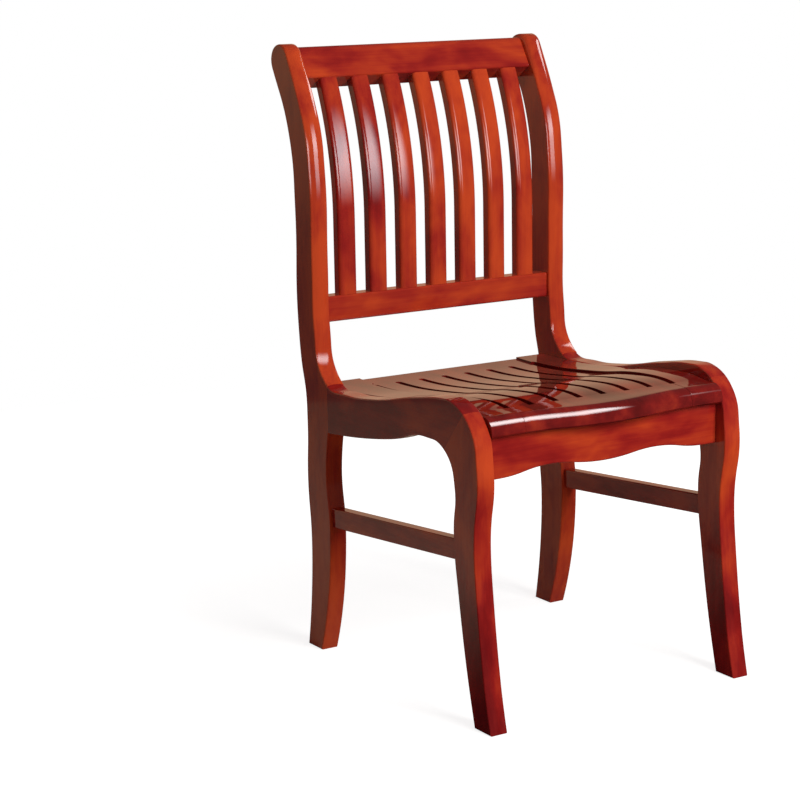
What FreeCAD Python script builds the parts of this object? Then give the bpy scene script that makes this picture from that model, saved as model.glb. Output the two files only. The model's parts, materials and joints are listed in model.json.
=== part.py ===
"""Wooden office chair: two shaped side frames, a slatted leaning back and a slotted saddle seat.

Lengths are millimetres. +Z is up, the chair faces -Y, and the origin is under the middle of its box.
Names with left and right are as a sitter has them: left is +X.
"""

import FreeCAD, Part
import math
import os
from FreeCAD import Vector

# Overall sizes
overall_width = 450.0
overall_height = 900.0
overall_depth = 565.0

# Side frames, shaped from flat board
board_thickness = 28.0
frame_edge_chamfer = 2.0
scroll_radius = 24.0
scroll_lean = 28.0

# Back: rails between the posts, slats between the rails
crest_lean = 32.0
crest_drop = 10.0
crest_depth = 54.0
crest_thickness = 36.0
crest_shift = 3.0
crest_top_radius = 10.0
crest_edge_chamfer = 2.0
lumbar_gap = 93.5
lower_rail_recess = 5.0
lower_rail_depth = 38.0
lower_rail_thickness = 28.0
lower_rail_edge_chamfer = 2.0
slat_count = 7
slat_width = 29.5
slat_thickness = 19.0
slat_recess = 1.5
slat_straight = 112.0
slat_edge_chamfer = 2.5

# Seat: a slotted middle panel with a strip at each side, all shaped to one saddle curve
strip_width = 55.0
slot_count = 8
slot_width = 10.0
slot_margin = 7.0
panel_overhang = 15.0
panel_bow = 15.0
strip_overhang = 15.0
seat_rear_overhang = 12.0
nose_radius = 20.0
seat_under_chamfer = 2.5
seam_gap = 0.3
strip_side_gap = 0.3

# Seat frame and stretchers
apron_recess = 21.0
apron_thickness = 22.0
apron_depth = 61.0
scallop_rise = 8.5
apron_edge_chamfer = 1.5
rear_rail_thickness = 22.0
rear_rail_depth = 40.0
stretcher_thickness = 18.0
stretcher_depth = 29.5
stretcher_front_height = 241.5
stretcher_rear_height = 212.5
stretcher_edge_chamfer = 1.5

# Joints
tenon_length = 18.0
tenon_shoulder = 4.0
slat_tenon_length = 12.0
joint_clearance = 0.15
spline_length = 20.0
spline_thickness = 9.0
spline_margin = 14.0
spline_gap = 7.0

# Corner blocks under the seat, and screws up into it
block_leg = 45.0
block_height = 26.0
block_screw_inset = 15.0
screw_shank_diameter = 4.5
screw_head_width = 8.0
screw_head_height = 3.0
screw_bite = 14.0

# How far cutters run past what they cut, when an arc counts as a straight line,
# how near to a plane an edge lies to be picked with it, and the steps of a search
overrun = 40.0
flat_arc_limit = 0.002
pick_limit = 0.3
search_steps = 30

# Outlines, as shares of the overall depth from the front and of the overall height
post_rear_shares = [
    (0.883, 0.000), (0.860, 0.094), (0.852, 0.190), (0.864, 0.290), (0.858, 0.385),
    (0.862, 0.437), (0.882, 0.490), (0.894, 0.555), (0.894, 0.740), (0.903, 0.822), (0.930, 0.883),
]
post_front_shares = [
    (0.867, 0.920), (0.832, 0.867), (0.814, 0.790), (0.812, 0.650), (0.809, 0.550),
    (0.787, 0.484), (0.752, 0.4615), (0.639, 0.4540),
]
knee_shares = [
    (0.522, 0.4610), (0.330, 0.4848), (0.214, 0.4960), (0.160, 0.4965), (0.106, 0.4840),
    (0.063, 0.4540), (0.046, 0.4030), (0.061, 0.2800), (0.046, 0.1750), (0.000, 0.0000),
]
leg_rear_shares = [
    (0.071, 0.000), (0.131, 0.177), (0.155, 0.300), (0.148, 0.362), (0.168, 0.403),
    (0.212, 0.4245), (0.278, 0.4285), (0.440, 0.4055), (0.749, 0.3800),
]
rear_leg_front_shares = [(0.749, 0.3800), (0.763, 0.325), (0.750, 0.210), (0.770, 0.090), (0.812, 0.000)]

# The two joints in each side frame, from top to underside
upright_joint_shares = [(0.749, 0.4613), (0.749, 0.3800)]
mitre_joint_shares = [(0.104, 0.4845), (0.194, 0.4170)]

# Seat tops from rear to nose, and the underside where it thins from front to rear
panel_top_shares = [
    (0.840, 0.4500), (0.680, 0.4493), (0.480, 0.4600), (0.290, 0.4766), (0.200, 0.4802), (0.094, 0.4760),
]
strip_top_shares = [
    (0.840, 0.4528), (0.680, 0.4523), (0.480, 0.4632), (0.290, 0.4792), (0.200, 0.4814), (0.094, 0.4762),
]
seat_under_shares = [(0.280, 0.4467), (0.480, 0.4360), (0.640, 0.4272)]

# Panel front, seen from above: forward bulge at shares of the half panel width
bow_shares = [(1.00, 0.00), (0.00, 1.00)]

# Apron lower edge: rise at shares of the half length between the legs
scallop_shares = [(1.00, 0.00), (0.82, 0.06), (0.53, 1.00), (0.00, 0.20)]

# Half sizes that much hangs on
half_width = overall_width / 2
inner_face = half_width - board_thickness
board_middle = half_width - board_thickness / 2
front = -overall_depth / 2
back = overall_depth / 2


def place(shares):
    """Points in the side plane for shares of the overall depth and height."""
    return [Vector(0, front + d * overall_depth, h * overall_height) for d, h in shares]


def unit(vector):
    return vector / vector.Length


def tangents_through(points, first=None, last=None):
    """The way a smooth outline runs at each of its points."""
    ways = []
    for before, here, after in zip(points, points[1:], points[2:]):
        a, b = here - before, after - here
        ways.append(unit(a / a.dot(a) + b / b.dot(b)))
    chord = unit(points[1] - points[0])
    start = first or chord * (2 * chord.dot(ways[0])) - ways[0]
    chord = unit(points[-1] - points[-2])
    end = last or chord * (2 * chord.dot(ways[-1])) - ways[-1]
    return [start] + ways + [end]


def arc_from(start, way, end):
    """The arc that leaves start along a direction and reaches end."""
    chord = end - start
    middle = unit(way + unit(chord))
    bulge = start + middle * (chord.Length / (2 * middle.dot(unit(chord))))
    if (bulge - (start + end) / 2).Length < flat_arc_limit:
        return Part.LineSegment(start, end)
    return Part.Arc(start, bulge, end)


def outline(points, first=None, last=None):
    """Tangent arcs through the points, two to each span, so that the line turns without a corner."""
    ways = tangents_through(points, first, last)
    arcs = []
    for start, end, leave, arrive in zip(points, points[1:], ways, ways[1:]):
        run = end - start
        along = run.dot(leave + arrive)
        turn = 2 * (1 - leave.dot(arrive))
        reach = run.dot(run) / (math.sqrt(along * along + turn * run.dot(run)) + along)
        from_start, from_end = start + leave * reach, end - arrive * reach
        meet = (from_start + from_end) / 2
        arcs += [arc_from(start, leave, meet), arc_from(meet, unit(from_end - from_start), end)]
    return arcs


def line(a, b):
    return Part.LineSegment(a, b)


def face_inside(curves):
    wire = Part.Wire(Part.__sortEdges__([c.toShape() for c in curves]))
    return Part.Face(wire)


def prism(curves, x_from, x_to):
    """The area inside curves of the side plane, carried across from x_from to x_to."""
    face = face_inside(curves)
    face.translate(Vector(x_from, 0, 0))
    return face.extrude(Vector(x_to - x_from, 0, 0))


def polygon(points):
    corners = points + points[:1]
    return [line(a, b) for a, b in zip(corners, corners[1:])]


def box(x_from, x_to, y_from, y_to, z_from, z_to):
    corner = Vector(x_from, y_from, z_from)
    return Part.makeBox(x_to - x_from, y_to - y_from, z_to - z_from, corner)


def grown(size, by):
    """A (from, to) pair made longer at both ends."""
    return size[0] - by, size[1] + by


def tenon(x, y, z, clearance=0.0):
    """A box from three (from, to) pairs. With a clearance it is the mortise for the same tenon."""
    return box(*grown(x, clearance), *grown(y, clearance), *grown(z, clearance))


def arc_edges(shape):
    return [e for e in shape.Edges if isinstance(e.Curve, Part.Circle)]


def arc_edges_in_side_plane(shape):
    """Curved edges that lie flat in a side plane."""
    return [e for e in arc_edges(shape) if e.BoundBox.XLength < flat_arc_limit]


def edges_along_x(shape):
    """Straight edges that run from side to side."""
    return [e for e in shape.Edges if e.BoundBox.YLength + e.BoundBox.ZLength < flat_arc_limit]


def mirrored(shape):
    return shape.mirror(Vector(0, 0, 0), Vector(1, 0, 0))


def group(shapes):
    return Part.makeCompound(shapes)


def y_at(curves, height):
    """How far back a rising or falling outline is at a height."""
    for curve in curves:
        low, high = curve.FirstParameter, curve.LastParameter
        z_low, z_high = curve.value(low).z, curve.value(high).z
        if min(z_low, z_high) <= height <= max(z_low, z_high):
            break
    for _ in range(search_steps):
        middle = (low + high) / 2
        if (curve.value(middle).z < height) == (z_low < z_high):
            low = middle
        else:
            high = middle
    return curve.value(low).y


# Outline of a side frame, as tangent arcs
lean = math.radians(scroll_lean)
scroll_centre = Vector(0, back - scroll_radius, overall_height - scroll_radius)
scroll_along = Vector(0, math.sin(lean), math.cos(lean))
scroll_across = Vector(0, math.cos(lean), -math.sin(lean))
scroll_rear = scroll_centre + scroll_across * scroll_radius
scroll_front = scroll_centre - scroll_across * scroll_radius
scroll_top = scroll_centre + scroll_along * scroll_radius
forward = Vector(0, -1, 0)
post_rear = outline(place(post_rear_shares) + [scroll_rear], last=scroll_along)
post_front = outline([scroll_front] + place(post_front_shares), -scroll_along, forward)
knee = outline(place(post_front_shares[-1:] + knee_shares), forward)
leg_rear = outline(place(leg_rear_shares))
rear_leg_front = outline(place(rear_leg_front_shares))
frame_outline = (
    post_rear + [Part.Arc(scroll_rear, scroll_top, scroll_front)] + post_front + knee
    + [line(place(knee_shares)[-1], place(leg_rear_shares)[0])] + leg_rear + rear_leg_front
    + [line(place(rear_leg_front_shares)[-1], place(post_rear_shares)[0])]
)

# Where the board is parted: upright behind the seat, and across the knee
rail_joint = place(leg_rear_shares)[-1]
mitre_top, mitre_foot = place(mitre_joint_shares)
mitre_past = unit(mitre_foot - mitre_top) * overrun
mitre_over, mitre_under = mitre_top - mitre_past, mitre_foot + mitre_past
rail_zone = [
    Vector(0, rail_joint.y, rail_joint.z - overrun),
    Vector(0, rail_joint.y, mitre_over.z + overrun),
    Vector(0, mitre_over.y, mitre_over.z + overrun),
    mitre_over,
    mitre_under,
    Vector(0, mitre_under.y, rail_joint.z - overrun),
]
leg_zone = [
    mitre_over,
    mitre_under,
    Vector(0, mitre_under.y, -overrun),
    Vector(0, front - overrun, -overrun),
    Vector(0, front - overrun, mitre_over.z),
]

# Heights and places that seats, rails and blocks share
apron_top = place(seat_under_shares)[0].z
apron_z = (apron_top - apron_depth, apron_top)
apron_front = y_at(knee, apron_top - apron_depth / 2) + apron_recess
apron_y = (apron_front, apron_front + apron_thickness)
rear_rail_top = place(seat_under_shares)[-1].z
rear_rail_z = (rear_rail_top - rear_rail_depth, rear_rail_top)
rear_rail_front = rail_joint.y + spline_length / 2 + spline_gap - tenon_shoulder
rear_rail_y = (rear_rail_front, rear_rail_front + rear_rail_thickness)
seat_rear = rear_rail_y[1] + seat_rear_overhang
panel_nose = apron_front - panel_overhang
strip_nose = apron_front - strip_overhang
seam = inner_face - strip_width
slot_pitch = 2 * seam / (slot_count - 1)
lower_rail_bottom = place(panel_top_shares)[0].z + lumbar_gap
lower_rail_z = (lower_rail_bottom, lower_rail_bottom + lower_rail_depth)
lower_rail_front = y_at(post_front, sum(lower_rail_z) / 2) + lower_rail_recess
lower_rail_y = (lower_rail_front, lower_rail_front + lower_rail_thickness)


def cross_rail_tenon(y, z, clearance=0.0):
    """The tenon at the +X end of a rail between the side frames."""
    x = (inner_face, inner_face + tenon_length)
    return tenon(x, grown(y, -tenon_shoulder), grown(z, -tenon_shoulder), clearance)


def with_tenons(body, tenon_shape):
    """A rail with the same tenon on both ends."""
    return body.fuse([tenon_shape, mirrored(tenon_shape)]).removeSplitter()


# Crest rail: laid out upright with its lower front edge on the X axis, then leaned into the scrolls
crest_angle = math.radians(crest_lean)
crest_along = Vector(0, math.sin(crest_angle), math.cos(crest_angle))
crest_across = Vector(0, math.cos(crest_angle), -math.sin(crest_angle))
crest_y = (0, crest_thickness)
crest_z = (0, crest_depth)
crest_middle = scroll_centre - crest_along * crest_drop + crest_across * crest_shift
crest_corner = crest_middle - crest_along * (crest_depth / 2) - crest_across * (crest_thickness / 2)


def leaned(shape):
    """Something laid out with the upright crest rail, taken to its place."""
    shape.rotate(Vector(0, 0, 0), Vector(1, 0, 0), -crest_lean)
    shape.translate(crest_corner)
    return shape


def crest_tenon(clearance=0.0):
    x = (inner_face, inner_face + tenon_length)
    shoulder = tenon_shoulder * 2
    return leaned(tenon(x, grown(crest_y, -shoulder), grown(crest_z, -shoulder), clearance))


def crest_rail():
    body = box(-inner_face, inner_face, *crest_y, *crest_z)
    top = [e for e in edges_along_x(body) if e.BoundBox.ZMin > crest_z[1] - pick_limit]
    body = body.makeFillet(crest_top_radius, top)
    low = [e for e in edges_along_x(body) if e.BoundBox.ZMax < crest_z[0] + pick_limit]
    body = leaned(body.makeChamfer(crest_edge_chamfer, low))
    return with_tenons(body, crest_tenon()).cut(slat_mortises())


def lower_back_rail():
    body = box(-inner_face, inner_face, *lower_rail_y, *lower_rail_z)
    body = body.makeChamfer(lower_rail_edge_chamfer, edges_along_x(body))
    return with_tenons(body, cross_rail_tenon(lower_rail_y, lower_rail_z)).cut(slat_mortises())


# Slats: upright from the lower rail, then bent back on one arc up to the crest rail's underside
slat_front = lower_rail_y[0] + slat_recess
slat_top = crest_corner + crest_across * slat_recess
bend_foot = Vector(0, slat_front, lower_rail_z[1] + slat_straight)
bend_rise, bend_run = slat_top.z - bend_foot.z, slat_top.y - bend_foot.y
bend_radius = (bend_rise * bend_rise + bend_run * bend_run) / (2 * bend_run)
bend_centre = bend_foot + Vector(0, bend_radius, 0)
bend_angle = 2 * math.atan2(bend_run, bend_rise)
slat_pitch = (2 * inner_face + slat_width) / (slat_count + 1)


def bend_point(radius, angle):
    return bend_centre + Vector(0, -math.cos(angle), math.sin(angle)) * radius


def bend(radius):
    """The bend at a radius about its centre, run on past the crest rail's underside."""
    past = bend_angle + slat_tenon_length / bend_radius
    return Part.Arc(*[bend_point(radius, angle) for angle in (0, past / 2, past)])


def slat_tenons(clearance=0.0):
    """The middle slat's tenons, down into the lower rail and up into the crest rail."""
    x = (-slat_width / 2 + tenon_shoulder, slat_width / 2 - tenon_shoulder)
    y = grown((0, slat_thickness), -tenon_shoulder)
    low = tenon(x, y, (lower_rail_z[1] - slat_tenon_length, lower_rail_z[1]), clearance)
    low.translate(Vector(0, slat_front, 0))
    high = tenon(x, y, (0, slat_tenon_length), clearance)
    high.translate(Vector(0, slat_recess, 0))
    return [low, leaned(high)]


def slat_at(middle, index):
    slat = middle.copy()
    slat.translate(Vector((index - (slat_count - 1) / 2) * slat_pitch, 0, 0))
    return slat


def middle_slat():
    ahead, behind = bend(bend_radius), bend(bend_radius - slat_thickness)
    foot = Vector(0, slat_front, lower_rail_z[1])
    heel = Vector(0, slat_front + slat_thickness, lower_rail_z[1])
    curves = [line(foot, ahead.StartPoint), ahead, line(ahead.EndPoint, behind.EndPoint), behind]
    curves += [line(behind.StartPoint, heel), line(heel, foot)]
    blank = prism(curves, -slat_width / 2, slat_width / 2)
    in_front = [e for e in arc_edges_in_side_plane(blank) if e.Curve.Radius > bend_radius - pick_limit]
    blank = blank.makeChamfer(slat_edge_chamfer, in_front)
    past_crest = leaned(box(-slat_width, slat_width, *grown(crest_y, overrun), *crest_z))
    return blank.cut(past_crest).fuse(slat_tenons()).removeSplitter().Solids[0]


def slat_mortises():
    return [slat_at(mortise, i) for i in range(slat_count) for mortise in slat_tenons(joint_clearance)]


# Under the seat: the shaped front apron, the rear rail, corner blocks and screws
def apron_lower_edge():
    """Scalloped lower edge from one leg to the other, as tangent arcs seen from the front."""
    half = [Vector(s * inner_face, apron_y[0], apron_z[0] + r * scallop_rise) for s, r in scallop_shares]
    other_half = [Vector(-p.x, p.y, p.z) for p in reversed(half[:-1])]
    return outline(half + other_half, Vector(-1, 0, 0), Vector(-1, 0, 0))


def front_apron():
    low = apron_lower_edge()
    left, right = low[0].StartPoint, low[-1].EndPoint
    corners = [right, Vector(right.x, right.y, apron_top), Vector(left.x, left.y, apron_top), left]
    face = face_inside(low + [line(a, b) for a, b in zip(corners, corners[1:])])
    body = face.extrude(Vector(0, apron_thickness, 0))
    in_front = [e for e in arc_edges(body) if e.BoundBox.YMax < apron_y[0] + pick_limit]
    body = body.makeChamfer(apron_edge_chamfer, in_front)
    return with_tenons(body, cross_rail_tenon(apron_y, apron_z))


def rear_seat_rail():
    body = box(-inner_face, inner_face, *rear_rail_y, *rear_rail_z)
    return with_tenons(body, cross_rail_tenon(rear_rail_y, rear_rail_z))


def corner_block(y_inside, way, top):
    """A three-sided block in the +X corner, from a rail's face at y_inside, way being 1 or -1."""
    corner = Vector(inner_face, y_inside, top - block_height)
    points = [corner, corner - Vector(block_leg, 0, 0), corner + Vector(0, way * block_leg, 0)]
    return face_inside(polygon(points)).extrude(Vector(0, 0, block_height)).cut(seat_screw_holes())


def front_corner_block():
    return corner_block(apron_y[1], 1, apron_top)


def rear_corner_block():
    return corner_block(rear_rail_y[0], -1, rear_rail_top)


def seat_screw(x, y, top, clearance=0.0):
    """One hexagon-headed screw up through a corner block with this top, or the hole that it needs."""
    seat = Vector(x, y, top - block_height)
    up = Vector(0, 0, 1)
    reach = block_height + screw_bite + clearance
    shank = Part.makeCylinder(screw_shank_diameter / 2 + clearance, reach, seat, up)
    corner = Vector(screw_head_width / math.sqrt(3), 0, 0)
    turns = [FreeCAD.Rotation(up, 60 * i).multVec(corner) for i in range(6)]
    head = face_inside(polygon([seat + turn for turn in turns])).extrude(up * -screw_head_height)
    return shank.fuse(head).removeSplitter()


def seat_screws(clearance=0.0):
    """A screw up through each corner block into the seat."""
    x = inner_face - block_screw_inset
    screws = []
    for y, top in (
        (apron_y[1] + block_screw_inset, apron_top),
        (rear_rail_y[0] - block_screw_inset, rear_rail_top),
    ):
        screws += [seat_screw(-x, y, top, clearance), seat_screw(x, y, top, clearance)]
    return screws


def seat_screw_holes():
    return seat_screws(joint_clearance)


# The seat: one saddle curve from front to back, cut into a panel and two strips
def seat_blank(top_shares, half, nose):
    """A full-length seat piece with a flat nose, from its top and the common underside."""
    backward = -forward
    top = place(top_shares)
    under = place(seat_under_shares)
    ahead = front - overrun
    corners = [top[-1], Vector(0, ahead, top[-1].z), Vector(0, ahead, under[0].z), under[0]]
    behind = [under[-1], Vector(0, top[0].y, under[-1].z), top[0]]
    curves = outline(top, last=forward) + outline(under, backward, backward)
    curves += [line(a, b) for a, b in zip(corners, corners[1:])]
    curves += [line(a, b) for a, b in zip(behind, behind[1:])]
    body = prism(curves, -half, half)
    return body.common(box(-half, half, nose, seat_rear, 0, overall_height))


def with_round_nose(body, nose):
    """Round the front edge over the top, and ease it underneath."""
    middle = (apron_top + place(panel_top_shares)[-1].z) / 2
    reach = nose + pick_limit
    level = [e for e in body.Edges if e.BoundBox.YMax < reach and e.BoundBox.ZLength < flat_arc_limit]
    body = body.makeFillet(nose_radius, [e for e in level if e.BoundBox.ZMin > middle])
    level = [e for e in body.Edges if e.BoundBox.YMax < reach and e.BoundBox.ZLength < flat_arc_limit]
    return body.makeChamfer(seat_under_chamfer, [e for e in level if e.BoundBox.ZMax < middle])


def saddle_slots():
    """Slots between the panel's bars, square in front and round behind, set on the seams as well."""
    y = (apron_y[1] + slot_margin, rear_rail_y[0] - slot_margin - slot_width / 2)
    slots = []
    for i in range(slot_count):
        x = (i - (slot_count - 1) / 2) * slot_pitch
        slots.append(box(x - slot_width / 2, x + slot_width / 2, *y, 0, overall_height))
        slots.append(Part.makeCylinder(slot_width / 2, overall_height, Vector(x, y[1], 0)))
    return slots


def seat_panel():
    """The middle of the seat, with its nose bowed forward as seen from above."""
    half = seam - seam_gap / 2
    body = seat_blank(panel_top_shares, half, front - overrun)
    bow = [Vector(s * half, panel_nose - b * panel_bow, 0) for s, b in bow_shares]
    bow += [Vector(-p.x, p.y, 0) for p in reversed(bow[:-1])]
    ahead = [bow[-1], Vector(-half, front - overrun, 0), Vector(half, front - overrun, 0), bow[0]]
    sideways = Vector(-1, 0, 0)
    waste = outline(bow, sideways, sideways) + [line(a, b) for a, b in zip(ahead, ahead[1:])]
    body = body.cut(face_inside(waste).extrude(Vector(0, 0, overall_height)))
    return with_round_nose(body, panel_nose).cut(saddle_slots())


def seat_strip():
    """The strip beside the panel on the +X side, out to the side frame."""
    body = seat_blank(strip_top_shares, inner_face - strip_side_gap, strip_nose)
    body = body.common(box(seam + seam_gap / 2, half_width, front, back, 0, overall_height))
    return with_round_nose(body, strip_nose).cut(saddle_slots() + seat_screw_holes())


# Stretchers, scribed to the curved legs
def stretcher_bar(depth, thickness, clearance=0.0):
    """A bar of the +X stretcher's line, run into both legs as far as the tenons."""
    behind = Vector(0, y_at(rear_leg_front, stretcher_rear_height), stretcher_rear_height)
    ahead = Vector(0, y_at(leg_rear, stretcher_front_height), stretcher_front_height)
    along = unit(ahead - behind)
    up = Vector(0, -along.z, along.y) * (depth / 2 + clearance)
    reach = along * (tenon_length + clearance)
    corners = [behind - reach - up, behind - reach + up, ahead + reach + up, ahead + reach - up]
    half = thickness / 2 + clearance
    return prism(polygon(corners), board_middle - half, board_middle + half)


def stretcher_tenons(clearance=0.0):
    shoulders = 2 * tenon_shoulder
    return stretcher_bar(stretcher_depth - shoulders, stretcher_thickness - shoulders, clearance)


def stretcher():
    bar = stretcher_bar(stretcher_depth, stretcher_thickness)
    long_edges = [e for e in bar.Edges if e.Length > stretcher_depth + pick_limit]
    bar = bar.makeChamfer(stretcher_edge_chamfer, long_edges)
    bar = bar.cut(prism(frame_outline, inner_face, half_width))
    return bar.fuse(stretcher_tenons()).removeSplitter()


# Side frames, each a board shaped whole and then parted into post, rail and front leg
def joint_splines(clearance=0.0):
    """A loose tongue across each joint of the +X frame, or its slots when a clearance is given."""
    splines = []
    for top, foot in (place(upright_joint_shares), place(mitre_joint_shares)):
        down = unit(foot - top)
        across = Vector(0, -down.z, down.y) * (spline_length / 2 + clearance)
        high, low = top + down * (spline_margin - clearance), foot - down * (spline_margin - clearance)
        half = spline_thickness / 2 + clearance
        corners = [high - across, high + across, low + across, low - across]
        splines.append(prism(polygon(corners), board_middle - half, board_middle + half))
    return splines


def frame_mortises():
    """Every hole in the +X frame, for the cross rails, the stretcher and the splines."""
    return joint_splines(joint_clearance) + [
        crest_tenon(joint_clearance),
        cross_rail_tenon(lower_rail_y, lower_rail_z, joint_clearance),
        cross_rail_tenon(apron_y, apron_z, joint_clearance),
        cross_rail_tenon(rear_rail_y, rear_rail_z, joint_clearance),
        stretcher_tenons(joint_clearance),
    ]


def zone(points):
    return prism(polygon(points), inner_face - overrun, half_width + overrun)


def frame_pieces():
    """Post, rail and leg of the +X frame, with eased edges and their joints cut."""
    board = prism(frame_outline, inner_face, half_width)
    rail, leg = zone(rail_zone), zone(leg_zone)
    blanks = {
        "rear_post": board.cut([rail, leg]),
        "side_rail": board.common(rail),
        "front_leg": board.common(leg),
    }
    pieces = {}
    for name, blank in blanks.items():
        solid = blank.Solids[0]
        eased = solid.makeChamfer(frame_edge_chamfer, arc_edges_in_side_plane(solid))
        pieces[name] = eased.cut(frame_mortises())
    return pieces


def chair():
    """Every piece of the chair by name."""
    pieces = {
        "crest_rail": crest_rail(),
        "lower_back_rail": lower_back_rail(),
        "front_apron": front_apron(),
        "rear_seat_rail": rear_seat_rail(),
        "seat_panel": seat_panel(),
        "seat_screws": group(seat_screws()),
        "frame_splines": group(joint_splines() + [mirrored(spline) for spline in joint_splines()]),
    }
    middle = middle_slat()
    for i in range(slat_count):
        pieces["back_slat_%d" % (i + 1)] = slat_at(middle, i)
    sided = frame_pieces()
    sided["stretcher"] = stretcher()
    sided["seat_strip"] = seat_strip()
    sided["front_corner_block"] = front_corner_block()
    sided["rear_corner_block"] = rear_corner_block()
    for name, shape in sided.items():
        pieces["left_" + name] = shape
        pieces["right_" + name] = mirrored(shape)
    return pieces


os.makedirs("parts", exist_ok=True)
for name, shape in chair().items():
    shape.exportStep("parts/" + name + ".step")
    state = "valid" if shape.isValid() else "NOT valid"
    print(name, len(shape.Solids), "solid,", state, round(shape.Volume))
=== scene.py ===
# %% [markdown]
# # A lacquered wooden office chair
# This file dresses the chair's CAD pieces for a photograph. The CAD model already has every piece at its
# true size and place. What is added here is what a cabinet maker adds last: rounded edges, a red-brown
# stain that lets the wood through, and a glossy lacquer that mirrors the room.

# %% Load the frame
import json
import math

import bmesh
import bpy
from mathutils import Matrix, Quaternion, Vector

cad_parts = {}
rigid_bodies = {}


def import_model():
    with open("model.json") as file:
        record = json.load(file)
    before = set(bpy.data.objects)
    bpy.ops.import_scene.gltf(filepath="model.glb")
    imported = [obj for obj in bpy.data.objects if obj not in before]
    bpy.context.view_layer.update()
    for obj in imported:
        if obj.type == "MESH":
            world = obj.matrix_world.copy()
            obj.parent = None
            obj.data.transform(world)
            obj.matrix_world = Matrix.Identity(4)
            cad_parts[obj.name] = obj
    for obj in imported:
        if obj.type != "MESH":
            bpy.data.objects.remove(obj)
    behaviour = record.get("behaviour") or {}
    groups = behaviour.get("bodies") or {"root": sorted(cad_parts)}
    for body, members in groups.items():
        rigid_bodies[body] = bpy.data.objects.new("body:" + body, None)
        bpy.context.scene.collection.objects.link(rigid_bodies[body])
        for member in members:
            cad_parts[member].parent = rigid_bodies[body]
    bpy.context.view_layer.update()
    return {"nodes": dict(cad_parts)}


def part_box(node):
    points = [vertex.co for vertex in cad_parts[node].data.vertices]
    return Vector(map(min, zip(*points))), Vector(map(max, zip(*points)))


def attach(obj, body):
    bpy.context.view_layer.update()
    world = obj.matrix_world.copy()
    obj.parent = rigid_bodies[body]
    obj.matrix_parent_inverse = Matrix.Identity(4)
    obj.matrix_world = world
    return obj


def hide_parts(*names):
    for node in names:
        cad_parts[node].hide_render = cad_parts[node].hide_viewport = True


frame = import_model()
nodes = frame["nodes"]

# %% [markdown]
# ## Shaders in small steps
# A shader is a sum of small nodes. Each helper below makes one node, feeds it with the outputs of other
# nodes or with plain numbers, and hands on its output, so that a shader reads from top to bottom.


# %% Nodes and their sockets
def add_node(tree, kind, at, **settings):
    """A new node of a kind at a grid place, with the settings given."""
    node = tree.nodes.new(kind)
    node.location = (at[0] * 200, at[1] * -200)
    for key, value in settings.items():
        setattr(node, key, value)
    return node


def set_inputs(node, **values):
    """Write values into a node's sockets, by socket name with spaces as underscores."""
    for key, value in values.items():
        node.inputs[key.replace("_", " ")].default_value = value


def feed(tree, socket, value):
    """Give a socket the output of another node, or a constant."""
    if isinstance(value, bpy.types.NodeSocket):
        tree.links.new(value, socket)
    else:
        socket.default_value = value


print("helpers for sockets ready")


# %% Nodes that calculate
def calculated(tree, at, operation, *values, clamp=False):
    """A Math node's result from outputs or numbers."""
    node = add_node(tree, "ShaderNodeMath", at, operation=operation, use_clamp=clamp)
    for socket, value in zip(node.inputs, values):
        feed(tree, socket, value)
    return node.outputs[0]


def ramp(tree, at, value, start, end, low=0.0, high=1.0, kind="SMOOTHSTEP"):
    """Goes from low to high while a value goes from start to end, and stays level outside."""
    node = add_node(tree, "ShaderNodeMapRange", at, interpolation_type=kind)
    set_inputs(node, From_Min=start, From_Max=end, To_Min=low, To_Max=high)
    feed(tree, node.inputs["Value"], value)
    return node.outputs[0]


def blended(tree, at, factor, first, second):
    """The first colour where the factor is 0, the second where it is 1."""
    node = add_node(tree, "ShaderNodeMix", at, data_type="RGBA")
    for socket, value in zip((node.inputs["Factor"], node.inputs[6], node.inputs[7]), (factor, first, second)):
        feed(tree, socket, value)
    return node.outputs[2]


def axes_of(tree, at, vector):
    """The X, Y and Z of a vector."""
    split = add_node(tree, "ShaderNodeSeparateXYZ", at)
    feed(tree, split.inputs[0], vector)
    return split.outputs


print("helpers that calculate ready")

# %% [markdown]
# ## Stain and grain
# The photograph shows close-grained wood under a red stain. The stain took unevenly: soft clouds, longer
# along the board than across it, go from deep red to orange, and the fibres only show as faint fine lines.
# Three noises stretched along the board, clouds, bands and fibres, give this in one node group that every
# board shares. Each family of boards then chooses its own tones.


# %% Colours as a paint programme shows them
def srgb(red, green, blue):
    """A colour from 0 to 255, turned into the linear values of a shader."""
    linear = [v / 3294.6 if v <= 10.31 else ((v / 255 + 0.055) / 1.055) ** 2.4 for v in (red, green, blue)]
    return (*linear, 1)


TONES = {"Dark": srgb(112, 17, 19), "Red": srgb(152, 31, 27), "Orange": srgb(194, 68, 31)}
print("frame tones", {name: [round(v, 3) for v in tone[:3]] for name, tone in TONES.items()})


# %% Node groups and stretched noise
def new_group(name, inputs, outputs):
    """A node group with named sockets. Each input has a type and a value, each output a type."""
    group = bpy.data.node_groups.new(name, "ShaderNodeTree")
    for label, (kind, value) in inputs.items():
        socket = group.interface.new_socket(label, in_out="INPUT", socket_type=kind)
        if value is not None:
            socket.default_value = value
    for label, kind in outputs.items():
        group.interface.new_socket(label, in_out="OUTPUT", socket_type=kind)
    return group, add_node(group, "NodeGroupInput", (-6, 0)), add_node(group, "NodeGroupOutput", (8, 0))


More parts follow.
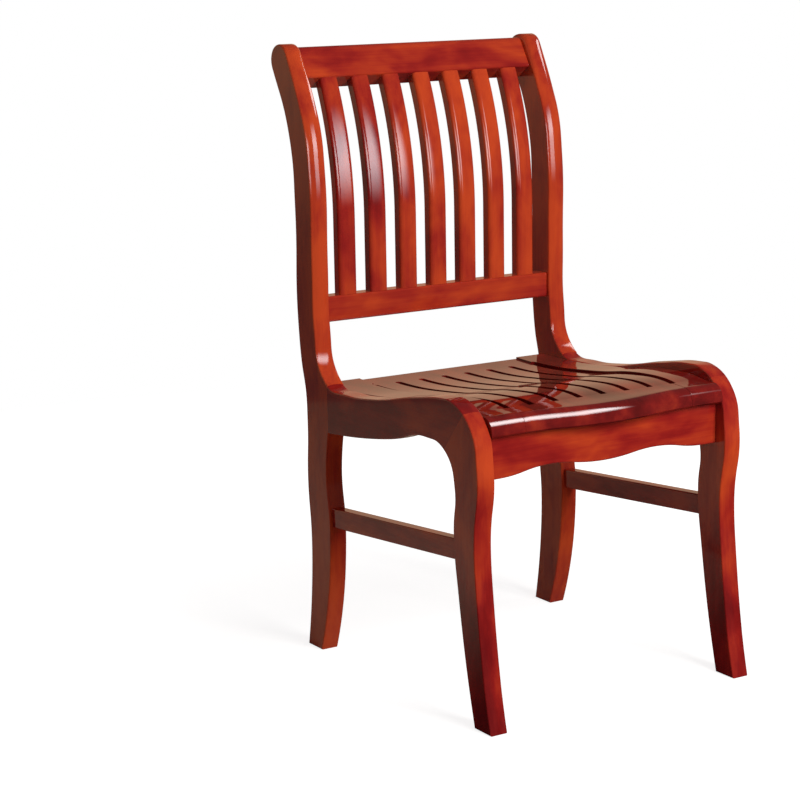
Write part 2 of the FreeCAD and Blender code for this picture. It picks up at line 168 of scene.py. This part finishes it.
def stretched_noise(tree, given, row, stretch, **settings):
    """Noise drawn out along Z, as wood is along its grain."""
    scale = add_node(tree, "ShaderNodeVectorMath", (-4, row), operation="MULTIPLY")
    scale.inputs[1].default_value = (1, 1, stretch)
    noise = add_node(tree, "ShaderNodeTexNoise", (-2, row))
    set_inputs(noise, **settings)
    tree.links.new(given.outputs["Vector"], scale.inputs[0])
    tree.links.new(scale.outputs[0], noise.inputs["Vector"])
    return noise.outputs["Fac"]


print("helpers for groups ready")

# %% [markdown]
# Bands and fibres are added to the clouds by a share each. Two ramps then read the sum: the first leads from
# the dark tone to the red, the second from the red to the orange. Warmth moves a whole board along them.

# %% The stained grain group
COLOR, FLOAT, VECTOR = "NodeSocketColor", "NodeSocketFloat", "NodeSocketVector"
BAND_SHARE, FIBRE_SHARE = 0.32, 0.12
DARK_TO_RED, RED_TO_ORANGE = (0.38, 0.80), (0.62, 1.08)
STAIN_ROUGHNESS = (0.40, 0.50)


def stained_grain_group():
    """Colour, roughness and height of stained wood whose grain runs along the Z axis of its vector."""
    inputs = {"Vector": (VECTOR, None), "Warmth": (FLOAT, 0.0), **{key: (COLOR, tone) for key, tone in TONES.items()}}
    group, given, made = new_group("stained_grain", inputs, {"Color": COLOR, "Roughness": FLOAT, "Height": FLOAT})
    cloud = stretched_noise(group, given, 0, 0.5, Scale=18.0, Detail=3.0, Roughness=0.55, Distortion=0.3)
    band = stretched_noise(group, given, 2, 0.07, Scale=75.0, Detail=3.0, Roughness=0.6)
    fibre = stretched_noise(group, given, 4, 0.03, Scale=520.0, Detail=2.0, Roughness=0.5)
    banded = calculated(group, (0, 0), "MULTIPLY_ADD", band, BAND_SHARE, cloud)
    shade = calculated(group, (1, 0), "MULTIPLY_ADD", fibre, FIBRE_SHARE, banded)
    warmer = calculated(group, (2, 0), "ADD", shade, given.outputs["Warmth"])
    redness = ramp(group, (3, 0), warmer, *DARK_TO_RED)
    orangeness = ramp(group, (3, 2), warmer, *RED_TO_ORANGE)
    red = blended(group, (5, 0), redness, given.outputs["Dark"], given.outputs["Red"])
    feed(group, made.inputs["Color"], blended(group, (6, 0), orangeness, red, given.outputs["Orange"]))
    feed(group, made.inputs["Roughness"], ramp(group, (5, 3), fibre, 0, 1, *STAIN_ROUGHNESS, kind="LINEAR"))
    feed(group, made.inputs["Height"], fibre)
    return group


stained_grain = stained_grain_group()
print("stained_grain group has", len(stained_grain.nodes), "nodes")

# %% [markdown]
# ## Lacquered boards
# A Mapping node turns the grain for boards that stand up, lie across or run to the back, and shifts it so
# that no two families show the same clouds. The stain itself has no shine. All the shine is in the clear
# coat, as on the real chair, where the lacquer lies on the wood like glass. Towards the floor the front
# legs are a deeper red, so their Warmth falls between two heights.

# %% Lacquered wood materials
GRAIN_TURNS = {"up": (0, 0, 0), "across": (0, math.radians(90), 0), "deep": (math.radians(90), 0, 0)}
FOOT_HEIGHTS = (0.08, 0.30)
LACQUER = {"Coat_Weight": 1.0, "Coat_Roughness": 0.05, "Coat_IOR": 1.5}


def lacquered_wood(name, grain, shift=(0, 0, 0), warmth=0.0, tones=TONES, foot=0.0):
    """Stained and lacquered wood with its grain along one axis, and redder near the floor by foot."""
    material = bpy.data.materials.new(name)
    material.use_nodes = True
    tree = material.node_tree
    shader = tree.nodes["Principled BSDF"]
    place = add_node(tree, "ShaderNodeTexCoord", (-6, 0)).outputs["Object"]
    turn = add_node(tree, "ShaderNodeMapping", (-5, 0))
    set_inputs(turn, Rotation=GRAIN_TURNS[grain], Location=shift)
    feed(tree, turn.inputs["Vector"], place)
    height = axes_of(tree, (-5, 1), place)["Z"]
    stain = add_node(tree, "ShaderNodeGroup", (-3, 0), node_tree=stained_grain)
    set_inputs(stain, **tones)
    feed(tree, stain.inputs["Vector"], turn.outputs["Vector"])
    feed(tree, stain.inputs["Warmth"], ramp(tree, (-4, 1), height, *FOOT_HEIGHTS, warmth - foot, warmth))
    relief = add_node(tree, "ShaderNodeBump", (-1, 1))
    set_inputs(relief, Strength=0.02, Distance=0.0003)
    feed(tree, relief.inputs["Height"], stain.outputs["Height"])
    feed(tree, shader.inputs["Base Color"], stain.outputs["Color"])
    feed(tree, shader.inputs["Roughness"], stain.outputs["Roughness"])
    feed(tree, shader.inputs["Normal"], relief.outputs["Normal"])
    set_inputs(shader, Specular_IOR_Level=0.0, **LACQUER)
    return material


wood_post = lacquered_wood("lacquered wood, posts", "up", (0.05, 0.02, 0.33), 0.20)
wood_leg = lacquered_wood("lacquered wood, legs", "up", (0.3, 0.1, 0.2), 0.12, foot=0.26)
wood_rail = lacquered_wood("lacquered wood, side rails", "deep", (0.7, 0.2, 0.1), -0.05)
wood_cross = lacquered_wood("lacquered wood, cross rails", "across", (0.1, 0.5, 0.3), 0.04)
print("lacquered woods:", len([m for m in bpy.data.materials if m.name.startswith("lacquered")]))

# %% [markdown]
# The seat is darker than the frame in the photograph. Each slat has its own warmth: the near ones are deep
# red, the far ones orange.

# %% Seat and slats
SEAT_TONES = {"Dark": srgb(84, 14, 14), "Red": srgb(122, 24, 22), "Orange": srgb(156, 50, 28)}
SLAT_WARMTH = (0.05, 0.0, 0.10, 0.18, 0.18, 0.20, 0.14)
wood_seat = lacquered_wood("lacquered wood, seat", "deep", (0.2, 0.8, 0.4), -0.05, SEAT_TONES)
wood_slats = [
    lacquered_wood("lacquered wood, slat %d" % (i + 1), "up", (0.17 * i, 0.31 * i, 0.23 * i), warmth)
    for i, warmth in enumerate(SLAT_WARMTH)
]
print("slats in", len(wood_slats), "woods, from warmth", min(SLAT_WARMTH), "to", max(SLAT_WARMTH))

# %% [markdown]
# ## Bare wood and screws
# Under the seat the corner blocks and the splines in the joints are left bare, and the screws are plain
# zinc-plated steel. Nobody sees them from the front, but they are there when the chair is turned over.

# %% Bare wood and steel
BARE_TONES = {"Dark": srgb(150, 104, 62), "Red": srgb(178, 132, 84), "Orange": srgb(200, 158, 106)}
bare_wood = lacquered_wood("bare wood", "across", tones=BARE_TONES)
set_inputs(bare_wood.node_tree.nodes["Principled BSDF"], Coat_Weight=0.0)
steel = bpy.data.materials.new("zinc-plated steel")
steel.use_nodes = True
steel_shader = steel.node_tree.nodes["Principled BSDF"]
set_inputs(steel_shader, Base_Color=srgb(196, 198, 200), Metallic=1.0)
wear = add_node(steel.node_tree, "ShaderNodeTexNoise", (-4, 0))
set_inputs(wear, Scale=900.0)
steel_gloss = ramp(steel.node_tree, (-2, 0), wear.outputs["Fac"], 0, 1, 0.25, 0.40, kind="LINEAR")
feed(steel.node_tree, steel_shader.inputs["Roughness"], steel_gloss)
print("bare wood and steel ready")

# %% [markdown]
# ## Shaped boards with rounded edges
# The posts, side rails, legs and slats are boards: one outline, carried sideways. On the real chair the
# edges are eased by about 2 mm. The back is shaped further: the posts are crowned in front, as a hand rail
# is, which spreads the light along them, and their scrolls are rounder still. A Bevel modifier has one
# width, so each board is made again from its outline. bisect_plane cuts the CAD piece where its section is
# plain, and what is left is the outline as a loop of edges. extrude_edge_only then carries the loop from
# one face to the other, ring after ring, and each ring is drawn in or let out as the rounding asks. Where
# two boards meet, the ends stay flat.

# %% The outline of a board
SAME_POINT = 0.00002
OUTLINE_STEP = 0.0002
STRAIGHT = math.radians(0.1)


def outline_at(node, x):
    """The loop of edges in which the upright plane at x cuts a CAD piece."""
    loop = bmesh.new()
    loop.from_mesh(nodes[node].data)
    bmesh.ops.remove_doubles(loop, verts=loop.verts, dist=SAME_POINT)
    everything = loop.verts[:] + loop.edges[:] + loop.faces[:]
    plane = {"plane_co": (x, 0, 0), "plane_no": (1, 0, 0)}
    bmesh.ops.bisect_plane(loop, geom=everything, dist=1e-6, clear_inner=True, clear_outer=True, **plane)
    bmesh.ops.remove_doubles(loop, verts=loop.verts, dist=OUTLINE_STEP)
    bmesh.ops.dissolve_limit(loop, angle_limit=STRAIGHT, verts=loop.verts, edges=loop.edges)
    return loop


def in_order(loop):
    """The loop's vertices one after another, anticlockwise in the (Y, Z) plane."""
    start = loop.verts[:][0]
    walk, before = [start], None
    while True:
        here = walk[-1]
        edge = next(e for e in here.link_edges if e is not before)
        before, after = edge, edge.other_vert(here)
        if after is start:
            break
        walk.append(after)
    area = sum(a.co.y * b.co.z - b.co.y * a.co.z for a, b in zip(walk, walk[1:] + walk[:1]))
    return walk if area > 0 else walk[::-1]


OUTER, INNER, CLEAN = 0.225, 0.197, 0.220
post_outline = outline_at("left_rear_post", CLEAN)
print("the post's outline has", len(in_order(post_outline)), "points")
post_outline.free()

# %% [markdown]
# A rim is seen from the end of the board. It starts on the board's face, turns round the arris on a small
# circle, and goes on to the middle on a large one that leans by the crown at the edges. The two circles
# touch, so the light runs over them without a break.

# %% The rim of a board
ARRIS = 0.0022
LEAST_CROWN = 0.001
NEARLY_FLAT = 1000


def rim_profile(half, radius, crown, lift, arris_steps, crown_steps):
    """One side of a rim, from the board's face to its middle, as (depth inward, place across).

    With a lift of 1 the crown is added to the board, with 0 it is cut out of it.
    """
    crowned = crown > LEAST_CROWN
    bulge = (half - ARRIS) / math.sin(crown) + ARRIS if crowned else NEARLY_FLAT
    lifted = lift * bulge * (1 - math.cos(crown)) if crowned else 0
    touch = math.asin((half - radius) / (bulge - radius))
    profile = []
    for k in range(arris_steps + 1):
        turn = math.radians(90) + (touch - math.radians(90)) * k / arris_steps
        depth = bulge - (bulge - radius) * math.cos(touch) - radius * math.cos(turn)
        profile.append((depth - lifted, half - radius + radius * math.sin(turn)))
    for k in range(1, crown_steps + 1):
        turn = touch * (1 - k / crown_steps)
        profile.append((bulge * (1 - math.cos(turn)) - lifted, bulge * math.sin(turn)))
    return profile


plain_rim = rim_profile((OUTER - INNER) / 2, ARRIS, math.radians(27), 1, 4, 4)
print("a crown of 27 degrees stands out by", round(-plain_rim[-1][0] * 1000, 1), "mm")

# %% [markdown]
# A ring is the outline again, drawn in by the depth of the rim at its place across the board. A corner moves
# to where its two edges meet once they have moved in, and along a curve that is simply inwards.

# %% Where the rings go
SMOOTH_CORNER = 0.8


def drawn_in(before, after):
    """How a corner moves when the edges before and after it move in. Each is (inward way, distance)."""
    (a, da), (b, db) = before, after
    if a.dot(b) > SMOOTH_CORNER and abs(da - db) < 1e-9:
        return (a + b) * (da / (1 + a.dot(b)))
    cross = a.y * b.z - a.z * b.y
    return Vector((0, (da * b.z - db * a.z) / cross, (db * a.y - da * b.y) / cross))


def ring_places(places, x_from, x_to, rim, flat_end, steps):
    """Where each point of an outline goes on every ring from x_from to x_to."""
    inward = []
    for a, b in zip(places, places[1:] + places[:1]):
        way = (b - a).normalized()
        inward.append((Vector((0, -way.z, way.y)), flat_end(a, b)))
    middle, half = (x_from + x_to) / 2, abs(x_from - x_to) / 2
    side = 1 if x_from > x_to else -1
    rings = []
    for i, place in enumerate(places):
        (before, before_flat), (after, after_flat) = inward[i - 1], inward[i]
        way = after if before_flat else before if after_flat else (before + after).normalized()
        first_radius, last_radius, crown, lift = rim(place, way)
        across = [(depth, side * reach) for depth, reach in rim_profile(half, first_radius, crown, lift, *steps)]
        back = rim_profile(half, last_radius, crown, lift, *steps)[:-1]
        across += [(depth, -side * reach) for depth, reach in reversed(back)]
        spots = []
        for depth, reach in across:
            shift = drawn_in((before, 0 if before_flat else depth), (after, 0 if after_flat else depth))
            spots.append((middle + reach, *(place + shift).yz))
        rings.append(spots)
    return rings


print("helpers for rings ready")


# %% A finished piece
def finished(name, shape, material):
    """Turn a bmesh into a piece of the chair that keeps its flat faces flat in the light."""
    mesh = bpy.data.meshes.new(name)
    shape.to_mesh(mesh)
    shape.free()
    mesh.materials.append(material)
    piece = bpy.data.objects.new(name, mesh)
    bpy.context.scene.collection.objects.link(piece)
    weights = piece.modifiers.new("flat faces", "WEIGHTED_NORMAL")
    weights.weight, weights.keep_sharp = 80, True
    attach(piece, "root")
    return piece


print("helper for finished pieces ready")

# %% [markdown]
# Each point of the outline is given its number, and the extrusion copies the numbers to every ring. So a
# vertex always knows which place of which ring it goes to.

# %% From outline to board
BOARD_CREASE = math.radians(35)


def board(name, loop, x_from, x_to, rim, flat_end, material, steps=(4, 4)):
    """Carry an outline from x_from to x_to.

    rim(place, inward) gives each point its radius near x_from and near x_to, its crown and its lift.
    steps are the rings round the arris and along half the crown.
    """
    index = loop.verts.layers.int.new("place in ring")
    walk = in_order(loop)
    rings = ring_places([v.co.copy() for v in walk], x_from, x_to, rim, flat_end, steps)
    for i, vert in enumerate(walk):
        vert[index] = i
    first = edges = loop.edges[:]
    for ring in range(len(rings[0])):
        if ring:
            made = bmesh.ops.extrude_edge_only(loop, edges=edges)["geom"]
            edges = [g for g in made if isinstance(g, bmesh.types.BMEdge)]
        for vert in {v for e in edges for v in e.verts}:
            vert.co = rings[vert[index]][ring]
    bmesh.ops.edgeloop_fill(loop, edges=first)
    bmesh.ops.edgeloop_fill(loop, edges=edges)
    bmesh.ops.recalc_face_normals(loop, faces=loop.faces)
    for edge in loop.edges:
        edge.smooth = edge.calc_face_angle(0) < BOARD_CREASE
    for face in loop.faces:
        face.smooth = True
    return finished(name, loop, material)


print("helper for boards ready")

# %% [markdown]
# ## The side frames
# A rim asks two things of each point: how high it is, and how far it faces forward. The scrolls start at
# a height of 0.83 m. Their inner edge, beside the crest rail, is far rounder than their outer edge.

# %% How round the frames are
LEG_CROWN = math.radians(14)
FOOT = 0.05
POST_CROWNS = ((0.42, 0), (0.50, 18), (0.62, 24), (0.91, 27))
FULL_CROWN = 27
CROWN_ARRIS, REAR_ARRIS = 0.0008, -0.001
SCROLL_START, SCROLL_RISE = 0.83, 0.04
SCROLL_OUTER, SCROLL_INNER = 0.001, 0.006


def limited(value):
    """The value, kept between 0 and 1."""
    return min(max(value, 0), 1)


def leg_rim(place, way):
    """Crisp edges on legs and side rails, and a slight crown on what faces forward, but not at the foot."""
    return ARRIS, ARRIS, LEG_CROWN * limited(way.y * 1.5) * limited(place.z / FOOT), 0


def post_rim(place, way):
    """The back is crowned in front, as if worn by hands, and its scrolls are rounder towards the crest rail."""
    crown = 0
    for (low, small), (high, large) in zip(POST_CROWNS, POST_CROWNS[1:]):
        if low <= place.z <= high:
            crown = small + (large - small) * (place.z - low) / (high - low)
    forward = limited((way.y - 0.1) * 1.7)
    scroll = limited((place.z - SCROLL_START) / SCROLL_RISE) * limited(way.y + 0.6)
    arris = ARRIS + CROWN_ARRIS * forward * crown / FULL_CROWN + REAR_ARRIS * limited(-way.y)
    return arris + SCROLL_OUTER * scroll, arris + SCROLL_INNER * scroll, math.radians(crown) * forward, 1


print("post crowns by height", POST_CROWNS)

# %% [markdown]
# An edge that two neighbours share is a joint. Both boards stay flat there, so the joint stays closed.

# %% The side frames
TOUCHING = 0.0003


def shared_with(neighbours, x):
    """A test for an edge that a neighbour has as well, which is a joint."""
    outlines = []
    for neighbour in neighbours:
        loop = outline_at(neighbour, x)
        outlines.append([v.co.copy() for v in loop.verts])
        loop.free()

    def near(point, points):
        return any((point - p).length < TOUCHING for p in points)

    return lambda a, b: any(near(a, points) and near(b, points) for points in outlines)


for side, sign in (("left", 1), ("right", -1)):
    post, rail, leg = side + "_rear_post", side + "_side_rail", side + "_front_leg"
    for node, neighbours, rim, material in (
        (post, (rail,), post_rim, wood_post), (rail, (post, leg), leg_rim, wood_rail),
        (leg, (rail,), leg_rim, wood_leg),
    ):
        loop, joint = outline_at(node, sign * CLEAN), shared_with(neighbours, sign * CLEAN)
        piece = board(node + "_shaped", loop, sign * OUTER, sign * INNER, rim, joint, material)
        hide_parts(node)
        print(piece.name, len(piece.data.polygons), "faces")

# %% [markdown]
# ## The slats
# The seven slats are boards as well. Their front edges are soft, which is why each has a line of light
# along it in the photograph.

# %% The slats
SLAT_HALF, SLAT_CLEAN = 0.01475, 0.0115
SLAT_FRONT_RADIUS, SLAT_REAR_RADIUS = 0.0062, 0.0020
SLAT_COUNT = 7


def slat_rim(place, way):
    """Round in front where a back leans on the slat, less behind."""
    radius = SLAT_FRONT_RADIUS if way.y > 0 else SLAT_REAR_RADIUS
    return radius, radius, 0, 0


def slat_end(a, b):
    """A slat's ends are short and lie across it."""
    return abs((b - a).normalized().z) < 0.75


for i in range(SLAT_COUNT):
    node = "back_slat_%d" % (i + 1)
    low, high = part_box(node)
    middle = (low[0] + high[0]) / 2
    loop = outline_at(node, middle + SLAT_CLEAN)
    span = (middle - SLAT_HALF, middle + SLAT_HALF)
    piece = board(node + "_shaped", loop, *span, slat_rim, slat_end, wood_slats[i], steps=(6, 1))
    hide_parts(node)
print("slats are", round(2 * SLAT_HALF * 1000, 1), "mm wide")

# %% [markdown]
# ## Rails and seat
# The crest rail, the other rails, the stretchers and the seat keep their CAD shape. A merged copy of each
# gets a Bevel modifier, which turns each crease and chamfer into a small round, and a Weighted Normal
# modifier keeps the flat faces flat in the light. The seat's panel and strips are sanded more where they
# meet, so that the seams show.

# %% Sanded pieces
COPLANAR = math.radians(0.4)
SANDED_CREASE = math.radians(25)


def sanded(node, material, width=0.0012, ends=1.0):
    """A merged copy of a CAD node with its creases rounded, in the node's place.

    Creases at the piece's two ends, which lie in its side planes, get their width times ends.
    """
    shape = bmesh.new()
    shape.from_mesh(nodes[node].data)
    bmesh.ops.remove_doubles(shape, verts=shape.verts, dist=SAME_POINT)
    bmesh.ops.dissolve_limit(shape, angle_limit=COPLANAR, verts=shape.verts, edges=shape.edges)
    low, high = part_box(node)
    amount = shape.edges.layers.float.new("bevel_weight_edge")
    for edge in shape.edges:
        edge.smooth = True
        at_end = any(all(abs(v.co.x - x) < TOUCHING for v in edge.verts) for x in (low[0], high[0]))
        if edge.calc_face_angle(0) > SANDED_CREASE:
            edge[amount] = 1 if at_end else 1 / ends
    for face in shape.faces:
        face.smooth = True
    piece = finished(node + "_sanded", shape, material)
    bevel = piece.modifiers.new("sanding", "BEVEL")
    bevel.width, bevel.segments, bevel.limit_method = width * ends, 3, "WEIGHT"
    piece.modifiers.move(1, 0)
    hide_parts(node)
    return piece


for side in ("left", "right"):
    sanded(side + "_stretcher", wood_rail, width=0.0008)
    sanded(side + "_seat_strip", wood_seat, ends=4.0)
for node in ("crest_rail", "lower_back_rail", "front_apron", "rear_seat_rail"):
    sanded(node, wood_cross)
sanded("seat_panel", wood_seat, ends=4.0)

# %% [markdown]
# The blocks, splines and screws have the right shape in the CAD model. They only get better materials.

# %% Hidden pieces
for node, material in (
    ("left_front_corner_block", bare_wood), ("right_front_corner_block", bare_wood),
    ("left_rear_corner_block", bare_wood), ("right_rear_corner_block", bare_wood),
    ("frame_splines", bare_wood), ("seat_screws", steel),
):
    nodes[node].material_slots[0].material = material
print("hidden pieces have their own materials")

# %% [markdown]
# ## The studio
# The camera sees a white room. The lacquer sees more: a pale warm wall behind the chair, which lies as a
# tan sheen on the seat, and a darker room in front, which lets the red of the front faces show.


# %% Rays
def rays_in(tree, row):
    """Two masks: rays straight from the camera, also through clear pieces, and rays off a mirror."""
    rays = add_node(tree, "ShaderNodeLightPath", (-8, row))
    camera_rays, clear_rays = rays.outputs["Is Camera Ray"], rays.outputs["Is Transmission Ray"]
    return calculated(tree, (-6, row), "ADD", camera_rays, clear_rays, clamp=True), rays.outputs["Is Glossy Ray"]


print("helper for rays ready")

# %% The room
DARK_ROOM, WARM_WALL, ROOM_LIGHT = (0.13, 0.085, 0.08, 1), (0.62, 0.38, 0.24, 1), (0.11, 0.10, 0.10, 1)
WHITE = (1, 1, 1, 1)
scene = bpy.context.scene
scene.view_settings.view_transform = "Standard"
world = bpy.data.worlds.new("studio room")
scene.world = world
world.use_nodes = True
room = world.node_tree
direct, glossy = rays_in(room, 3)
way = axes_of(room, (-7, 0), add_node(room, "ShaderNodeTexCoord", (-8, 0)).outputs["Generated"])
behind = ramp(room, (-6, 0), way["Y"], -0.1, 0.3)
wall_top = ramp(room, (-6, 1), way["Z"], 0.50, 0.36)
wall_foot = ramp(room, (-6, 2), way["Z"], -0.16, -0.04, low=0.05)
wall_height = calculated(room, (-5, 1), "MULTIPLY", wall_top, wall_foot)
wall = calculated(room, (-4, 0), "MULTIPLY", behind, wall_height)
mirrored = blended(room, (-3, 0), wall, DARK_ROOM, WARM_WALL)
unseen = blended(room, (-2, 0), glossy, ROOM_LIGHT, mirrored)
feed(room, room.nodes["Background"].inputs["Color"], blended(room, (-1, 0), direct, unseen, WHITE))
print("room ready with", len(room.nodes), "nodes")

# %% [markdown]
# The floor is white paper that keeps a soft shadow under the chair. Its glow hides the paper's edge from the
# camera. The lacquer sees it dark in front, and tan behind the chair on its right, which browns the faces on
# the photograph's left.

# %% The floor's shape
FLOOR_RADIUS = 2.1
floor_mesh = bpy.data.meshes.new("floor")
shape = bmesh.new()
bmesh.ops.create_circle(shape, cap_ends=True, segments=64, radius=FLOOR_RADIUS)
shape.to_mesh(floor_mesh)
shape.free()
floor = bpy.data.objects.new("floor", floor_mesh)
scene.collection.objects.link(floor)
floor.location.z = -0.0005
print("floor", 2 * FLOOR_RADIUS, "m across")

# %% The floor's paper
PAPER, DARK_FLOOR, TAN_FLOOR = (0.45, 0.44, 0.43, 1), (0.03, 0.02, 0.02, 1), (1.0, 0.80, 0.60, 1)
paper = bpy.data.materials.new("pale studio paper")
paper.use_nodes = True
sheet = paper.node_tree
paper_shader = sheet.nodes["Principled BSDF"]
set_inputs(paper_shader, Roughness=0.9, Specular_IOR_Level=0.0, Emission_Color=WHITE)
direct, glossy = rays_in(sheet, 0)
place = add_node(sheet, "ShaderNodeTexCoord", (-8, 2)).outputs["Object"]
spot = axes_of(sheet, (-7, 2), place)
far = add_node(sheet, "ShaderNodeVectorMath", (-7, 1), operation="LENGTH")
feed(sheet, far.inputs[0], place)
glow = ramp(sheet, (-5, 1), far.outputs["Value"], 0.4, 1.1, low=0.84, kind="LINEAR")
feed(sheet, paper_shader.inputs["Emission Strength"], calculated(sheet, (-4, 0), "MULTIPLY", direct, glow))
to_rear, to_right = ramp(sheet, (-6, 2), spot["Y"], -0.2, 0.5), ramp(sheet, (-6, 3), spot["X"], 0.7, 0.0)
warm = calculated(sheet, (-5, 2), "MULTIPLY", to_rear, to_right)
mirrored = blended(sheet, (-3, 2), warm, DARK_FLOOR, TAN_FLOOR)
feed(sheet, paper_shader.inputs["Base Color"], blended(sheet, (-2, 1), glossy, PAPER, mirrored))
floor_mesh.materials.append(paper)
print("paper ready with", len(sheet.nodes), "nodes")

# %% [markdown]
# ## Light and sheen
# Light and sheen are kept apart, so that each can be set by itself. The softboxes light the wood and aren't
# mirrored. The panels light nothing, and each is mirrored only by the pieces that it is meant for: one for
# the sheen on the slats, one at each side for the posts' edges, and one for the seat's nose. They are
# clear, so that none hides another.


# %% Who sees what
def pieces_named(*words):
    """The dressed pieces with one of the words in their names."""
    dressed = [o for o in bpy.data.objects if o.name.endswith(("_shaped", "_sanded"))]
    return [o for o in dressed if any(word in o.name for word in words)]


def show_only_to(thing, pieces):
    """Limit what a lamp lights, or which pieces mirror a panel."""
    viewers = bpy.data.collections.new(thing.name + " is seen by")
    for piece in pieces:
        viewers.objects.link(piece)
    thing.light_linking.receiver_collection = viewers


all_pieces, back_pieces = pieces_named(""), pieces_named("post", "slat")
post_pieces, seat_pieces = pieces_named("post"), pieces_named("seat_")
print(len(all_pieces), "pieces,", len(back_pieces), "in the back,", len(seat_pieces), "in the seat")


# %% Softboxes that light the wood
def aimed(thing, place, aim, front):
    """Put a thing at a place and turn its front to a point."""
    scene.collection.objects.link(thing)
    thing.location = place
    thing.rotation_mode = "QUATERNION"
    thing.rotation_quaternion = (Vector(aim) - Vector(place)).to_track_quat(front, "Y")


def softbox(name, place, aim, width, height, power):
    """A rectangular area lamp that isn't mirrored."""
    lamp = bpy.data.lights.new(name, "AREA")
    lamp.shape, lamp.size, lamp.size_y, lamp.energy = "RECTANGLE", width, height, power
    box = bpy.data.objects.new(name, lamp)
    aimed(box, place, aim, "-Z")
    box.visible_camera = box.visible_glossy = False
    return box


softbox("front softbox", (0.35, -2.55, 1.6), (0, 0, 0.5), 1.2, 1.2, 72)
softbox("overhead softbox", (-0.2, -0.4, 2.6), (0, 0, 0.4), 1.4, 1.0, 8)
softbox("right softbox", (2.4, -0.6, 1.2), (0, 0, 0.5), 0.8, 1.6, 6)
show_only_to(softbox("rear softbox", (0.9, 2.6, 1.3), (0, 0, 0.5), 1.2, 1.2, 32), all_pieces)


# %% Glass for the panels
def glowing_glass(name, size, glow, fade, color):
    """Clear glowing glass. It fades at the rims of a sheet, over a share of its half size each way."""
    material = bpy.data.materials.new(name)
    material.use_nodes = True
    tree = material.node_tree
    tree.nodes.remove(tree.nodes["Principled BSDF"])
    shine = add_node(tree, "ShaderNodeEmission", (0, 0))
    clear = add_node(tree, "ShaderNodeBsdfTransparent", (0, 1))
    glass = add_node(tree, "ShaderNodeAddShader", (1, 0))
    feed(tree, glass.inputs[0], shine.outputs[0])
    feed(tree, glass.inputs[1], clear.outputs[0])
    feed(tree, tree.nodes["Material Output"].inputs["Surface"], glass.outputs[0])
    spot = axes_of(tree, (-7, 0), add_node(tree, "ShaderNodeTexCoord", (-8, 0)).outputs["Object"])
    rims = []
    for axis in (0, 1):
        half = size[axis] / 2
        off_centre = calculated(tree, (-5, axis), "ABSOLUTE", spot[axis])
        rims.append(ramp(tree, (-4, axis), off_centre, half, half * (1 - fade[axis])))
    faded = calculated(tree, (-3, 0), "MULTIPLY", *rims)
    feed(tree, shine.inputs["Strength"], calculated(tree, (-2, 0), "MULTIPLY", faded, glow))
    set_inputs(shine, Color=color)
    return material


print("helper for glass ready")


# %% Panels that the lacquer mirrors
def panel(name, place, aim, size, glow, fade, color, pieces):
    """A glowing sheet that only some pieces mirror."""
    mesh = bpy.data.meshes.new(name)
    sheet = bmesh.new()
    bmesh.ops.create_grid(sheet, x_segments=1, y_segments=1, size=0.5)
    bmesh.ops.scale(sheet, vec=(*size, 1), verts=sheet.verts)
    sheet.to_mesh(mesh)
    sheet.free()
    mesh.materials.append(glowing_glass(name, size, glow, fade, color))
    piece = bpy.data.objects.new(name, mesh)
    aimed(piece, place, aim, "Z")
    show_only_to(piece, pieces)
    piece.visible_camera = piece.visible_diffuse = piece.visible_shadow = piece.visible_transmission = False


COOL = (0.80, 0.95, 1.0, 1)
panel("left panel", (-1.0, -0.91, 0.96), (0, 0.2, 0.80), (1.3, 0.72), 9, (0.4, 0.9), WHITE, back_pieces)
panel("front panel", (0.40, -1.15, 1.09), (-0.1, 0.2, 0.78), (0.76, 1.1), 10, (0.3, 0.95), COOL, back_pieces)
panel("nose panel", (0.50, -0.88, 1.45), (0, -0.25, 0.43), (1.0, 0.9), 18, (0.5, 0.85), WHITE, seat_pieces)
panel("right panel", (1.01, 0.045, 1.38), (0, 0.24, 0.87), (0.5, 0.2), 9, (0.4, 0.5), WHITE, post_pieces)

# %% [markdown]
# ## The camera
# The photograph was taken from the chair's right front, a little above the seat, with a long lens. The
# angles come from a camera fitted to points of the photograph.

# %% The camera
camera_data = bpy.data.cameras.new("camera")
camera_data.lens = 101.7
camera_data.sensor_width = 36.0
camera_data.shift_x, camera_data.shift_y = -0.0625, 0.075
camera = bpy.data.objects.new("camera", camera_data)
scene.collection.objects.link(camera)
scene.camera = camera
camera.location = (-1.821, -2.6775, 1.068)
AZIMUTH, ELEVATION, ROLL = math.radians(-32.68), math.radians(13.36), math.radians(-0.71)
level = math.cos(ELEVATION)
view = Vector((-math.sin(AZIMUTH) * level, math.cos(AZIMUTH) * level, -math.sin(ELEVATION)))
camera.rotation_mode = "QUATERNION"
camera.rotation_quaternion = view.to_track_quat("-Z", "Y") @ Quaternion((0, 0, 1), ROLL)
print("camera looks along", [round(v, 3) for v in view])
